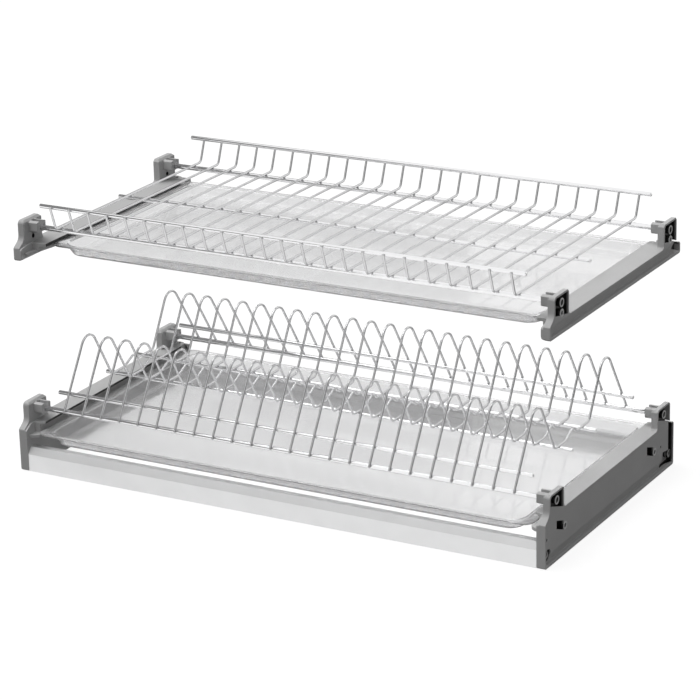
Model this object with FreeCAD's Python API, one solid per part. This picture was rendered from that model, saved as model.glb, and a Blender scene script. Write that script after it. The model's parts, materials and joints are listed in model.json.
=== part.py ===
"""Cabinet dish rack: a plate rack below and a glass rack above, each carried by two moulded side brackets.

Millimetres, +Z up, -Y is the open front of the cabinet, X runs from side panel to side panel.
The origin is midway between the side panels, midway between the front and rear rods of the plate rack,
at the height of the cabinet screws of the lower brackets.
"""

import FreeCAD
import Part
import math
import os

os.makedirs("parts", exist_ok=True)
V = FreeCAD.Vector

# Cabinet and the two tiers
cabinet_width = 564.0
rod_spacing = 239.5
rod_above_screw = 30.5
tier_rise = 181.0
upper_setback = 10.0

# Wire work: chromed steel rods, rails and bent wires, welded where they cross
rod_r = 2.5
rail_r = 2.0
wire_r = 1.15
wire_pitch = 21.0
wire_count = 24
wire_sides = 6
rod_sides = 16
small_sides = 12
corner_chords = 3
small_r = 2.6
rail_overhang = 13.5
weld_bite = 0.1
tip_overrun = 2.0

# Bent plate wire
plate_front_angle = 58.2
plate_inner_angle = 60.0
plate_rear_angle = 56.4
loop_height = 77.5
loop_r = 13.0
valley_height = 13.4
valley_r = 4.0
bump_rise = 7.6
rest_height = 15.2
rail_up_leg = 17.8
valley_flat_share = 0.304
bump_up_share = 0.219
bump_down_share = 0.106
valley_rail_share = 0.144
rest_rail_share = 0.836

# Bent glass wire
glass_overhang = 9.5
glass_fence_height = 23.6
glass_lean_front = 8.0
glass_lean_rear = 9.5
glass_bend_r = 5.0
glass_rail_drop = 1.8

# Side brackets, seen from the side
bracket_past_rod = 24.25
ledge_past_rod = 20.5
flange_past_rod = 5.0
lower_flange_past_rod = 14.5
head_half = 15.0
head_top = 8.6
cradle_top = 6.4
cradle_bottom = -7.5
cradle_half = 7.2
rod_clearance = 0.3
shoulder_top = -9.6
shoulder_drop = 6.7
shoulder_r = 8.0
lower_bar_top = -11.8
lower_bar_bottom = -58.5
upper_bar_top = -15.0
upper_bar_bottom = -28.9
groove_top = -18.2
groove_height = 3.7
ledge_t = 3.2

# Side brackets, measured inwards from the cabinet's side panel
wall_t = 9.0
head_t = 6.8
core_depth = 6.6
head_core_depth = 5.2
core_wall = 1.6
groove_back = 16.0
flange_reach = 23.0
ledge_reach = 25.0
cradle_reach = 17.0
cove_height = 10.7
cove_end = 3.5
cove_depth = 3.2
lip_height = 2.8

# Screw places on the brackets
screw_hole_r = 2.1
boss_r = 3.7
shell_t = 2.0
front_screw_in = 17.0
rear_screw_in = 22.0
pocket_front_in = 17.8
pocket_back_in = 3.1
pocket_front_high = 10.7
pocket_front_low = 2.5
pocket_back_high = 5.7
pocket_back_low = -3.1
head_boss_pitch = 9.6
peg_hole_size = 2.2

# Aluminium profiles between the lower brackets
profile_setback = 0.5
profile_t = 1.5
profile_height = 24.0
profile_fold = 6.5
profile_slope = 5.0
profile_top_depth = 12.0
profile_foot_depth = 14.0
profile_lip = 4.6
port_r = 3.2
port_hole_r = 1.8
port_in = 5.75
port_height = 12.5
port_slot = 1.4
profile_lift = 0.2

# Screws that hold the profiles
screw_shank_r = 1.65
screw_length = 18.0
screw_head_r = 4.0
screw_head_t = 2.6
screw_drive_r = 1.7
screw_drive_depth = 2.0

# Clear trays
tray_t = 2.0
tray_side_gap = 1.0
tray_seat_gap = 0.25
tray_corner_r = 25.0
tray_corner_steps = 4
tray_wall_r = 21.0
tray_foot_r = 18.0
tray_front_in = 3.0
tray_front_draft = 5.0
tray_drop = 11.2
tray_draft = 6.0
tray_ledge_gap = 2.0
lower_tray_front_in = 4.0
lower_tray_rear_in = 5.0
upper_tray_front_in = 34.5
upper_tray_rear_in = 9.0
tray_stop_t = 2.5

# Sizes that follow from the ones above
half_width = cabinet_width / 2
half_rods = rod_spacing / 2
half_depth = half_rods + bracket_past_rod
bracket_depth = half_depth * 2
wall_x = half_width - wall_t
wire_flat = wire_r * math.sqrt(math.pi / (6 * math.tan(math.pi / 6)))
wire_corner = wire_flat / math.cos(math.pi / wire_sides)
rail_half = (wire_count - 1) * wire_pitch / 2 + rail_overhang
head_x = half_width - head_t
rod_half = head_x - 1.0
groove_floor = groove_top - groove_height


def rounded(points, radii, place, chords=corner_chords):
    """Closed wire through points, each corner rounded to its radius and drawn with a few chords."""
    count = len(points)
    corners = []
    for i in range(count):
        here = V(*points[i], 0)
        if radii[i] <= 0:
            corners.append(here)
            continue
        to_before = (V(*points[i - 1], 0) - here).normalize()
        to_after = (V(*points[(i + 1) % count], 0) - here).normalize()
        half_angle = to_before.getAngle(to_after) / 2
        run = radii[i] / math.tan(half_angle)
        centre = here + (to_before + to_after).normalize() * (radii[i] / math.sin(half_angle))
        first = here + to_before * run - centre
        last = here + to_after * run - centre
        turn = math.pi - 2 * half_angle
        pieces = chords if radii[i] >= small_r else 1
        for k in range(pieces + 1):
            swung = first * math.sin(turn * (1 - k / pieces)) + last * math.sin(turn * k / pieces)
            corners.append(centre + swung.normalize() * radii[i])
    return Part.makePolygon([place(p) for p in corners + corners[:1]])


def side_plate(points, radii, x_low, x_high):
    """Plate with an outline in (y, z), from x_low to x_high."""
    wire = rounded(points, radii, lambda p: V(x_low, p.x, p.y))
    return Part.Face(wire).extrude(V(x_high - x_low, 0, 0))


def flat_plate(points, radii, z_low, z_high, chords=corner_chords):
    """Plate with an outline in (x, y), from z_low to z_high."""
    wire = rounded(points, radii, lambda p: V(p.x, p.y, z_low), chords)
    return Part.Face(wire).extrude(V(0, 0, z_high - z_low))


def block(x_low, x_high, y_low, y_high, z_low, z_high):
    """Plain block between two corners."""
    return Part.makeBox(x_high - x_low, y_high - y_low, z_high - z_low, V(x_low, y_low, z_low))


def round_bar(radius, x_low, x_high, y, z):
    """Cylinder along X."""
    return Part.makeCylinder(radius, x_high - x_low, V(x_low, y, z), V(1, 0, 0))


def prism(sides, inner_r, x_low, x_high, y, z):
    """Bar along X with a regular section, its flats inner_r from the axis."""
    corner_r = inner_r / math.cos(math.pi / sides)
    ring = []
    for k in range(sides + 1):
        angle = math.pi / sides + 2 * math.pi * k / sides
        ring.append(V(x_low, y + corner_r * math.cos(angle), z + corner_r * math.sin(angle)))
    return Part.Face(Part.makePolygon(ring)).extrude(V(x_high - x_low, 0, 0))


def mirrored(shape):
    """The same piece for the other side of the cabinet."""
    return shape.mirror(V(0, 0, 0), V(1, 0, 0))


def save(name, shape):
    """Write one named piece."""
    shape.exportStep("parts/" + name + ".step")
    print(name, len(shape.Solids), "solids", round(shape.Volume, 1), "mm3", "valid", shape.isValid())


def bent_path(points, radii, facets):
    """Points of a bent wire in (y, z): each bend becomes an arc, drawn as a few chords."""
    path = [points[0]]
    for i in range(1, len(points) - 1):
        before = V(*points[i - 1], 0)
        here = V(*points[i], 0)
        after = V(*points[i + 1], 0)
        to_before = (before - here).normalize()
        to_after = (after - here).normalize()
        half_angle = to_before.getAngle(to_after) / 2
        centre = here + (to_before + to_after).normalize() * (radii[i - 1] / math.sin(half_angle))
        run = radii[i - 1] / math.tan(half_angle)
        start = here + to_before * run - centre
        turn = math.pi - 2 * half_angle
        sign = 1 if to_after.cross(to_before).z < 0 else -1
        for step in range(facets[i - 1] + 1):
            angle = -sign * turn * step / facets[i - 1]
            swung = V(
                start.x * math.cos(angle) - start.y * math.sin(angle),
                start.x * math.sin(angle) + start.y * math.cos(angle),
                0,
            )
            path.append(((centre + swung).x, (centre + swung).y))
    path.append(points[-1])
    return path


def bent_wire(path):
    """One wire in the plane x = 0: a hexagonal section mitred along the path."""
    rings = []
    for i, (y, z) in enumerate(path):
        here = V(0, y, z)
        forward = V(0, *path[min(i + 1, len(path) - 1)]) - V(0, *path[max(i - 1, 0)])
        if 0 < i < len(path) - 1:
            first = (here - V(0, *path[i - 1])).normalize()
            second = (V(0, *path[i + 1]) - here).normalize()
            forward = first + second
            stretch = 1 / math.cos(first.getAngle(second) / 2)
        else:
            stretch = 1.0
        forward.normalize()
        across = V(0, -forward.z, forward.y)
        ring = []
        for k in range(wire_sides):
            angle = math.pi / wire_sides + 2 * math.pi * k / wire_sides
            outward = across * (math.cos(angle) * wire_corner * stretch)
            sideways = V(math.sin(angle) * wire_corner, 0, 0)
            ring.append(here + outward + sideways)
        rings.append(ring)
    faces = [Part.Face(Part.makePolygon(rings[0] + rings[0][:1]))]
    for low, high in zip(rings[:-1], rings[1:]):
        for k in range(wire_sides):
            m = (k + 1) % wire_sides
            faces.append(Part.Face(Part.makePolygon([low[k], low[m], high[m], high[k], low[k]])))
    faces.append(Part.Face(Part.makePolygon(rings[-1] + rings[-1][:1])))
    solid = Part.Solid(Part.makeShell(faces))
    if solid.Volume < 0:
        solid.reverse()
    return solid


def wire_row(wire, y, z):
    """The whole row of equal wires across the rack."""
    copies = []
    for i in range(wire_count):
        copy = wire.copy()
        copy.translate(V((i - (wire_count - 1) / 2) * wire_pitch, y, z))
        copies.append(copy)
    return Part.makeCompound(copies)


def unit(degrees):
    """Unit vector in (y, z) at an angle above the +Y direction."""
    return (math.cos(math.radians(degrees)), math.sin(math.radians(degrees)))


def meeting(p, p_angle, q, q_angle):
    """Where the line through p at p_angle meets the line through q at q_angle."""
    a = unit(p_angle)
    b = unit(q_angle)
    det = -a[0] * b[1] + b[0] * a[1]
    s = (-(q[0] - p[0]) * b[1] + b[0] * (q[1] - p[1])) / det
    return (p[0] + s * a[0], p[1] + s * a[1])


def along(p, degrees, distance):
    """The point a distance from p along an angle."""
    d = unit(degrees)
    return (p[0] + d[0] * distance, p[1] + d[1] * distance)


def beside(p, degrees, distance):
    """The point a distance to the left of p, looking along an angle."""
    d = unit(degrees)
    return (p[0] - d[1] * distance, p[1] + d[0] * distance)


# Plate rack. Positions in (y, z) are measured from the front rod, whose axis is at (0, 0).
rod_offset = rod_r + wire_flat - weld_bite
rail_offset = rail_r + wire_flat - weld_bite
leg_touch = beside((0, 0), plate_front_angle, rod_offset)
leg_tip = along(leg_touch, plate_front_angle, -tip_overrun)
tail_touch = beside((rod_spacing, 0), -plate_rear_angle, rod_offset)
tail_tip = along(tail_touch, -plate_rear_angle, tip_overrun)
front_apex = meeting(leg_touch, plate_front_angle, (0, loop_height), 0)
valley_start = meeting(front_apex, -plate_inner_angle, (0, valley_height), 0)
rear_apex = meeting(tail_touch, -plate_rear_angle, (0, loop_height), 0)
rest_end = meeting(rear_apex, plate_inner_angle, (0, rest_height), 0)
valley_length = rest_end[0] - valley_start[0]
valley_end = (valley_start[0] + valley_length * valley_flat_share, valley_height)
bump_top = (valley_end[0] + valley_length * bump_up_share, valley_height + bump_rise)
rest_start = (bump_top[0] + valley_length * bump_down_share, rest_height)
plate_points = [
    leg_tip,
    front_apex,
    valley_start,
    valley_end,
    bump_top,
    rest_start,
    rest_end,
    rear_apex,
    tail_tip,
]
plate_radii = [loop_r, valley_r, valley_r, valley_r, valley_r, valley_r, loop_r]
plate_facets = [4, 1, 1, 1, 1, 1, 4]
plate_wire = bent_wire(bent_path(plate_points, plate_radii, plate_facets))


def rod(y, tier_y, tier_z):
    """A carrying rod from cradle to cradle."""
    return prism(rod_sides, rod_r, -rod_half, rod_half, tier_y + y, tier_z)


def rail(place, tier_y, tier_z):
    """A thinner rail under or behind the wires."""
    return prism(small_sides, rail_r, -rail_half, rail_half, tier_y + place[0], tier_z + place[1])


def plate_rack(tier_y, tier_z):
    """Two carrying rods, four thinner rails and the row of looped wires."""
    up_front = along(leg_touch, plate_front_angle, rail_up_leg)
    front_rail = beside(up_front, plate_front_angle, -rail_offset)
    up_rear = along(tail_touch, -plate_rear_angle, -rail_up_leg - tip_overrun)
    rear_rail = beside(up_rear, -plate_rear_angle, -rail_offset)
    save("plate_front_rod", rod(0, tier_y, tier_z))
    save("plate_rear_rod", rod(rod_spacing, tier_y, tier_z))
    save("plate_front_rail", rail(front_rail, tier_y, tier_z))
    save("plate_rear_rail", rail(rear_rail, tier_y, tier_z))
    valley_rail = (valley_start[0] + valley_length * valley_rail_share, valley_height - rail_offset)
    save("plate_valley_rail", rail(valley_rail, tier_y, tier_z))
    rest_rail = (valley_start[0] + valley_length * rest_rail_share, rest_height - rail_offset)
    save("plate_rest_rail", rail(rest_rail, tier_y, tier_z))
    save("plate_wires", wire_row(plate_wire, tier_y, tier_z))


def glass_rack(tier_y, tier_z):
    """Two carrying rods, a middle rail and the row of straight wires turned up at both ends."""
    deck = rod_offset
    front_bend = (-glass_overhang, deck)
    rear_bend = (rod_spacing + glass_overhang + tip_overrun, deck)
    front_tip = (front_bend[0] - glass_lean_front, deck + glass_fence_height)
    rear_tip = (rear_bend[0] + glass_lean_rear, deck + glass_fence_height)
    points = [front_tip, front_bend, rear_bend, rear_tip]
    glass_wire = bent_wire(bent_path(points, [glass_bend_r, glass_bend_r], [2, 2]))
    lean_front = math.degrees(math.atan2(glass_fence_height, -glass_lean_front))
    lean_rear = math.degrees(math.atan2(glass_fence_height, glass_lean_rear))
    below_front = along(front_tip, lean_front, -glass_rail_drop)
    below_rear = along(rear_tip, lean_rear, -glass_rail_drop)
    front_rail = beside(below_front, lean_front, -rail_offset)
    rear_rail = beside(below_rear, lean_rear, rail_offset)
    save("glass_front_rod", rod(0, tier_y, tier_z))
    save("glass_rear_rod", rod(rod_spacing, tier_y, tier_z))
    save("glass_front_rail", rail(front_rail, tier_y, tier_z))
    save("glass_rear_rail", rail(rear_rail, tier_y, tier_z))
    save("glass_middle_rail", rail((half_rods, deck - rail_offset), tier_y, tier_z))
    save("glass_wires", wire_row(glass_wire, tier_y, tier_z))


# Side brackets. Built for the right side, with z measured from the rod axis and y from the middle.


def bracket_wall(bar_top, bar_bottom):
    """The wall that lies on the cabinet panel: a bar with a head over each rod."""
    head_in = half_rods - head_half
    head_out = half_rods + head_half
    outline = [
        (-half_depth, bar_bottom),
        (half_depth, bar_bottom),
        (half_depth, bar_top - 2.5),
        (head_out, bar_top - 2.5),
        (head_out, head_top),
        (head_in, head_top),
        (head_in, bar_top),
        (-head_in, bar_top),
        (-head_in, head_top),
        (-head_out, head_top),
        (-head_out, shoulder_top),
        (-half_depth, shoulder_top - shoulder_drop),
    ]
    radii = [1.5, 1.5, 2.0, 1.0, 2.5, 2.5, 3.0, 3.0, 2.5, 4.0, shoulder_r, 1.5]
    thin = side_plate(outline, radii, head_x, half_width)
    bar = [
        (-half_depth, bar_bottom),
        (half_depth, bar_bottom),
        (half_depth, bar_top - 3.0),
        (head_out, bar_top - 3.0),
        (head_out - 2.0, bar_top),
        (-head_out, bar_top),
        (-half_depth, shoulder_top - shoulder_drop - 1.0),
    ]
    thick = side_plate(bar, [1.5, 1.5, 1.5, 0, 0, 0, 1.5], wall_x, half_width - shell_t)
    body = thin.fuse(thick)
    for side in (-1, 1):
        slope = [V(head_x, 0, head_top - 2.2), V(head_x, 0, head_top), V(head_x + 2.2, 0, head_top)]
        for corner in slope:
            corner.y = side * half_rods - head_half
        edge = Part.Face(Part.makePolygon(slope + slope[:1])).extrude(V(0, 2 * head_half, 0))
        body = body.cut(edge)
    return body


def cradle(y):
    """Two prongs with a round-bottomed slot between them, open at the top for the rod."""
    slot_r = rod_r + rod_clearance
    x_in = half_width - cradle_reach
    outline = [
        (y - cradle_half, cradle_bottom),
        (y + cradle_half, cradle_bottom),
        (y + cradle_half, cradle_top - 1.0),
        (y + slot_r + 0.8, cradle_top),
        (y - slot_r - 0.8, cradle_top),
        (y - cradle_half, cradle_top - 1.0),
    ]
    body = side_plate(outline, [3.0, 3.0, 0, 0, 0, 0], x_in, head_x + shell_t / 4)
    slot = prism(small_sides, slot_r, x_in - 1, head_x, y, 0)
    slot = slot.fuse(block(x_in - 1, head_x, y - slot_r, y + slot_r, 0, cradle_top + 1))
    return body.cut(slot)


def tray_guides(bar_top, flange_past, ledge, ledge_radii, ledge_thickness):
    """Top flange and ledge with the tray's groove between them, closed at the rear."""
    x_flange = half_width - flange_reach
    root = wall_x + 1.0
    flange_front = -half_rods - flange_past
    flange_end = half_rods + flange_past_rod
    ledge_end = half_rods + ledge_past_rod
    flange = flat_plate(
        [(root, flange_front), (root, flange_end), (x_flange, flange_end), (x_flange, flange_front)],
        [0, 0, 2.0, 2.0],
        groove_top,
        bar_top,
    )
    shelf = flat_plate(ledge, ledge_radii, groove_floor - ledge_thickness, groove_floor)
    x_back = half_width - groove_back
    back = block(x_back, root, flange_front, ledge_end, groove_floor, groove_top)
    stop = block(x_flange + 1.0, root, ledge_end - tray_stop_t, ledge_end, groove_floor, bar_top - 3.0)
    return [flange, shelf, back, stop]


def core(points, radii, bosses, depth):
    """Recess moulded into the outer face, with round bosses left standing in it."""
    hollow = side_plate(points, radii, half_width - depth, half_width + 1)
    for y, z in bosses:
        hollow = hollow.cut(prism(small_sides, boss_r, half_width - depth - 1, half_width + 1, y, z))
    return hollow


def seat(points, radii, y, z, seat_x):
    """Deep recess round a profile screw, with a low boss left under the screw's head."""
    hollow = side_plate(points, radii, half_width - core_depth, half_width + 1)
    return hollow.cut(prism(small_sides, screw_head_r + 0.6, half_width - core_depth - 1, seat_x, y, z))


def through_hole(y, z):
    """Screw hole right through the wall."""
    return round_bar(screw_hole_r, wall_x - 1, half_width + 1, y, z)


def blind_hole(y, z):
    """Hollow of the boss that backs a rod's end."""
    return prism(small_sides, screw_hole_r, half_width - head_core_depth, half_width + 1, y, z)


def cove(bar_bottom):
    """Long hollow along the foot of the outer face, with a thin lip left under it."""
    low = bar_bottom + lip_height
    deep = half_width - cove_depth
    points = [
        V(half_width, cove_end - half_depth, low),
        V(deep, cove_end - half_depth, low + cove_height * 0.08),
        V(deep + cove_depth * 0.12, cove_end - half_depth, low + cove_height * 0.36),
        V(deep + cove_depth * 0.45, cove_end - half_depth, low + cove_height * 0.7),
        V(half_width, cove_end - half_depth, low + cove_height),
    ]
    wire = Part.makePolygon(points + points[:1])
    return Part.Face(wire).extrude(V(0, bracket_depth - 2 * cove_end, 0))


def screw_pocket(screw_y, screw_z):
    """Slanted recess in front of a cabinet screw's boss, and the boss's hole."""
    points = [
        (screw_y - pocket_front_in, screw_z + pocket_front_low),
        (screw_y - pocket_back_in, screw_z + pocket_back_low),
        (screw_y - pocket_back_in, screw_z + pocket_back_high),
        (screw_y - pocket_front_in, screw_z + pocket_front_high),
    ]
    hollow = core(points, [0, 0, 0, 0], [(screw_y, screw_z)], core_depth)
    return [hollow, through_hole(screw_y, screw_z)]


def lower_bracket():
    """Deep bracket: tray groove, cradles, cabinet screw bosses and the seats of the profile screws."""
    body = bracket_wall(lower_bar_top, lower_bar_bottom)
    root = wall_x + 1.0
    x_ledge = half_width - ledge_reach
    ledge_end = half_rods + ledge_past_rod
    ledge = [(root, -ledge_end), (root, ledge_end), (x_ledge, ledge_end), (x_ledge, -ledge_end)]
    pieces = tray_guides(lower_bar_top, lower_flange_past_rod, ledge, [0, 0, 2.0, 9.0], ledge_t)
    pieces = pieces + [cradle(-half_rods), cradle(half_rods)]
    body = body.multiFuse(pieces)
    cuts = [cove(lower_bar_bottom)]
    for side in (-1, 1):
        rod_y = side * half_rods
        inner = head_half - shell_t
        recess = [
            (rod_y - inner, -2.1),
            (rod_y + inner, lower_bar_top + 1.0),
            (rod_y + inner, head_top - shell_t),
            (rod_y - inner, head_top - shell_t),
        ]
        cuts.append(core(recess, [0, 0, 0, 2.0], [(rod_y, 0)], head_core_depth))
        cuts.append(blind_hole(rod_y, 0))
    cuts = cuts + screw_pocket(-half_rods + front_screw_in, -rod_above_screw)
    cuts = cuts + screw_pocket(half_rods - rear_screw_in, -rod_above_screw)
    port_y = half_depth - profile_setback - port_in
    port_z = lower_bar_bottom + port_height
    seat_x = half_width - core_depth + 2.0
    front_low = lower_bar_bottom + lip_height + 1.5
    head_room = screw_head_r + 0.6
    front_seat = [
        (-half_depth + shell_t, front_low),
        (-port_y + head_room, front_low),
        (-port_y + head_room, port_z + head_room),
        (-half_depth + shell_t, port_z + head_room + 1.4),
    ]
    cuts.append(seat(front_seat, [1.0, 2.5, 2.5, 1.0], -port_y, port_z, seat_x))
    rear_seat = [
        (half_rods - 3.5, front_low),
        (half_depth - shell_t, front_low),
        (half_depth - shell_t, port_z + head_room),
        (half_rods - 3.5, port_z + head_room + 3.6),
    ]
    cuts.append(seat(rear_seat, [1.0, 1.0, 0, 2.0], port_y, port_z, seat_x))
    rear_slot = [
        (half_rods + head_half - 4.0, port_z + head_room - 0.5),
        (half_depth - shell_t, port_z + head_room - 0.5),
        (half_depth - shell_t, lower_bar_top - 4.6),
        (half_rods + head_half - shell_t, lower_bar_top + 2.0),
        (half_rods + head_half - 4.0, lower_bar_top + 2.0),
    ]
    cuts.append(side_plate(rear_slot, [0, 0, 1.0, 0, 0], half_width - head_core_depth, half_width + 1))
    for side in (-1, 1):
        cuts.append(prism(small_sides, port_hole_r, wall_x - 1, half_width, side * port_y, port_z))
    for peg_y in (-half_depth + 3.0, half_rods - 6.8):
        half = peg_hole_size / 2
        peg_z = -rod_above_screw - 1.5
        cuts.append(block(half_width - 4.0, half_width + 1, peg_y - half, peg_y + half, peg_z, peg_z + 2.4))
    cuts = cuts + weight_cores()
    return cut_all(body, cuts)


def weight_cores():
    """Pockets moulded up into the bar from below, between cross ribs, where no screw passes."""
    start = -half_rods + front_screw_in + boss_r + 5.0
    finish = half_rods - rear_screw_in - pocket_front_in - 4.0
    rib = 3.0
    count = 4
    length = (finish - start - rib * (count - 1)) / count
    cores = []
    for i in range(count):
        y = start + i * (length + rib)
        x_low = wall_x + core_wall
        x_high = half_width - cove_depth - core_wall
        z_top = groove_floor - ledge_t - shell_t
        cores.append(block(x_low, x_high, y, y + length, lower_bar_bottom - 1, z_top))
    return cores


def upper_bracket():
    """Shallow bracket: the same heads, cradles and groove on a low bar with a rounded foot."""
    body = bracket_wall(upper_bar_top, upper_bar_bottom)
    foot_r = 4.0
    y_end = half_depth + 1
    heel = [(wall_x - 1, upper_bar_bottom + foot_r)]
    for k in range(corner_chords + 1):
        angle = math.pi / 2 * k / corner_chords
        drop = foot_r * (1 - math.sin(angle))
        heel.append((wall_x + foot_r * (1 - math.cos(angle)), upper_bar_bottom + drop))
    heel = heel + [(wall_x + foot_r, upper_bar_bottom - 1), (wall_x - 1, upper_bar_bottom - 1)]
    wire = Part.makePolygon([V(x, -y_end, z) for x, z in heel + heel[:1]])
    toe = Part.Face(wire).extrude(V(0, 2 * y_end, 0))
    body = body.cut(toe)
    root = wall_x + 1.0
    x_ledge = half_width - ledge_reach
    ledge_end = half_rods + ledge_past_rod
    ledge = [
        (root, -ledge_end + 2.0),
        (root, ledge_end),
        (x_ledge, ledge_end),
        (x_ledge, -half_rods / 2),
        (wall_x - 2.0, -ledge_end + 2.0),
    ]
    pieces = tray_guides(upper_bar_top, flange_past_rod, ledge, [0, 0, 2.0, 0, 0], ledge_t - 0.5)
    pieces = pieces + [cradle(-half_rods), cradle(half_rods)]
    body = body.multiFuse(pieces)
    cuts = [cove(upper_bar_bottom)]
    for side in (-1, 1):
        rod_y = side * half_rods
        inner = head_half - shell_t
        recess = [
            (rod_y - inner, -head_boss_pitch),
            (rod_y + inner, upper_bar_top + 1.0),
            (rod_y + inner, head_top - shell_t),
            (rod_y - inner, head_top - shell_t),
        ]
        cuts.append(core(recess, [0, 0, 0, 2.0], [(rod_y, 0), (rod_y, -head_boss_pitch)], head_core_depth))
        cuts.append(blind_hole(rod_y, 0))
        cuts.append(through_hole(rod_y, -head_boss_pitch))
    rear_slot = [
        (half_rods + 8.0, upper_bar_top - 7.0),
        (half_depth - shell_t, upper_bar_bottom + lip_height),
        (half_depth - shell_t, upper_bar_top - 4.6),
        (half_rods + head_half - shell_t, upper_bar_top + 2.0),
        (half_rods + 8.0, upper_bar_top + 2.0),
    ]
    cuts.append(side_plate(rear_slot, [0, 0, 1.0, 0, 0], half_width - head_core_depth, half_width + 1))
    return cut_all(body, cuts)


def cut_all(body, cuts):
    """Cut each tool from the body in turn."""
    for tool in cuts:
        body = body.cut(tool)
    return body


# Profiles, screws and trays


def profile_section():
    """Section of the front profile in (y, z), y inwards from its face and z up from its foot."""
    t = profile_t
    top = profile_height
    fold = top - profile_fold
    return [
        (profile_foot_depth, 0),
        (0, 0),
        (0, fold),
        (profile_slope, top),
        (profile_top_depth, top),
        (profile_top_depth, top - t),
        (profile_slope + 0.7, top - t),
        (t, fold - 0.5),
        (t, t),
        (profile_foot_depth - t, t),
        (profile_foot_depth - t, profile_lip),
        (profile_foot_depth, profile_lip),
    ]


def profile(side, tier_z):
    """Drawn aluminium profile with a slotted screw port, closed against the two brackets."""
    face_y = half_depth - profile_setback
    foot_z = tier_z + lower_bar_bottom + profile_lift
    points = [(side * (face_y - y), foot_z + z) for y, z in profile_section()]
    body = side_plate(points, [0] * len(points), -wall_x, wall_x)
    port_y = side * (face_y - port_in)
    port_z = tier_z + lower_bar_bottom + port_height
    y_low = min(port_y, port_y + side * (port_in - profile_t / 2))
    y_high = max(port_y, port_y + side * (port_in - profile_t / 2))
    web = block(-wall_x, wall_x, y_low, y_high, port_z - profile_t / 2, port_z + profile_t / 2)
    port = prism(small_sides, port_r, -wall_x, wall_x, port_y, port_z)
    body = body.multiFuse([web, port])
    body = body.cut(prism(small_sides, port_hole_r, -wall_x - 1, wall_x + 1, port_y, port_z))
    slot_low = min(port_y, port_y - side * (port_r + 1))
    slot_high = max(port_y, port_y - side * (port_r + 1))
    slot = block(-wall_x - 1, wall_x + 1, slot_low, slot_high, port_z - port_slot / 2, port_z + port_slot / 2)
    return body.cut(slot)


def profile_screws(tier_z):
    """Four screws through the brackets into the ports of the two profiles."""
    screws = []
    port_y = half_depth - profile_setback - port_in
    port_z = tier_z + lower_bar_bottom + port_height
    seat_x = half_width - core_depth + 2.0
    for y in (-port_y, port_y):
        shank = prism(8, screw_shank_r, seat_x - screw_length, seat_x + screw_head_t / 2, y, port_z)
        head = prism(small_sides, screw_head_r, seat_x, seat_x + screw_head_t, y, port_z)
        drive_x = seat_x + screw_head_t - screw_drive_depth
        drive = prism(6, screw_drive_r, drive_x, seat_x + screw_head_t + 1, y, port_z)
        screw = head.fuse(shank).cut(drive)
        screws.append(screw)
        screws.append(mirrored(screw))
    return Part.makeCompound(screws)


def rim_outline(half_x, y_front, y_back, inset_x, inset_y, corner_r):
    """Rounded rectangle of the tray, drawn in at its sides and at its ends."""
    points = [
        (-half_x + inset_x, y_front + inset_y),
        (half_x - inset_x, y_front + inset_y),
        (half_x - inset_x, y_back - inset_y),
        (-half_x + inset_x, y_back - inset_y),
    ]
    return points, [corner_r] * 4


def frustum(outline, top, foot, z_top, z_foot):
    """Drafted body between two rounded rectangles, each given by its insets and corner radius."""
    high_points, high_radii = rim_outline(*outline, *top)
    low_points, low_radii = rim_outline(*outline, *foot)
    high = rounded(high_points, high_radii, lambda p: V(p.x, p.y, z_top), tray_corner_steps)
    low = rounded(low_points, low_radii, lambda p: V(p.x, p.y, z_foot), tray_corner_steps)
    return Part.makeLoft([low, high], True, True)


def tray(y_front, y_back, tier_y, tier_z):
    """Clear drip tray: flat rim in the bracket grooves, drafted walls and a flat floor."""
    half_x = half_width - groove_back - tray_side_gap
    rim_low = tier_z + groove_floor + tray_seat_gap
    rim_top = rim_low + tray_t
    outline = (half_x, tier_y + y_front, tier_y + y_back)
    points, radii = rim_outline(*outline, 0, 0, tray_corner_r)
    rim = flat_plate(points, radii, rim_low, rim_top, tray_corner_steps)
    side_in = ledge_reach - groove_back - tray_side_gap + tray_ledge_gap
    foot = rim_top - tray_drop
    top_in = (side_in, tray_front_in)
    foot_in = (side_in + tray_draft, tray_front_in + tray_front_draft)
    outside = frustum(outline, (*top_in, tray_wall_r), (*foot_in, tray_foot_r), rim_top, foot)
    side_across = tray_t * math.hypot(tray_draft, tray_drop) / tray_drop
    end_across = tray_t * math.hypot(tray_front_draft, tray_drop) / tray_drop
    top_hollow = (top_in[0] + side_across, top_in[1] + end_across, tray_wall_r - tray_t)
    foot_hollow = (foot_in[0] + tray_t, foot_in[1] + tray_t, tray_foot_r - tray_t)
    inside = frustum(outline, top_hollow, foot_hollow, rim_top + 0.001, foot + tray_t)
    return rim.fuse(outside).cut(inside)


def placed(shape, tier_y, tier_z):
    """Move a bracket from its own frame to its tier."""
    moved = shape.copy()
    moved.translate(V(0, tier_y, tier_z))
    return moved


# Lower tier
lower_z = rod_above_screw
lower_right = placed(lower_bracket(), 0, lower_z)
save("lower_bracket_right", lower_right)
save("lower_bracket_left", mirrored(lower_right))
save("front_profile", profile(-1, lower_z))
save("rear_profile", profile(1, lower_z))
save("profile_screws", profile_screws(lower_z))
save("lower_tray", tray(-half_depth + lower_tray_front_in, half_depth - lower_tray_rear_in, 0, lower_z))
plate_rack(-half_rods, lower_z)

# Upper tier
upper_z = rod_above_screw + tier_rise
upper_right = placed(upper_bracket(), upper_setback, upper_z)
save("upper_bracket_right", upper_right)
save("upper_bracket_left", mirrored(upper_right))
upper_front = -half_depth + upper_tray_front_in
upper_back = half_depth - upper_tray_rear_in
save("upper_tray", tray(upper_front, upper_back, upper_setback, upper_z))
glass_rack(upper_setback - half_rods, upper_z)
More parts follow.
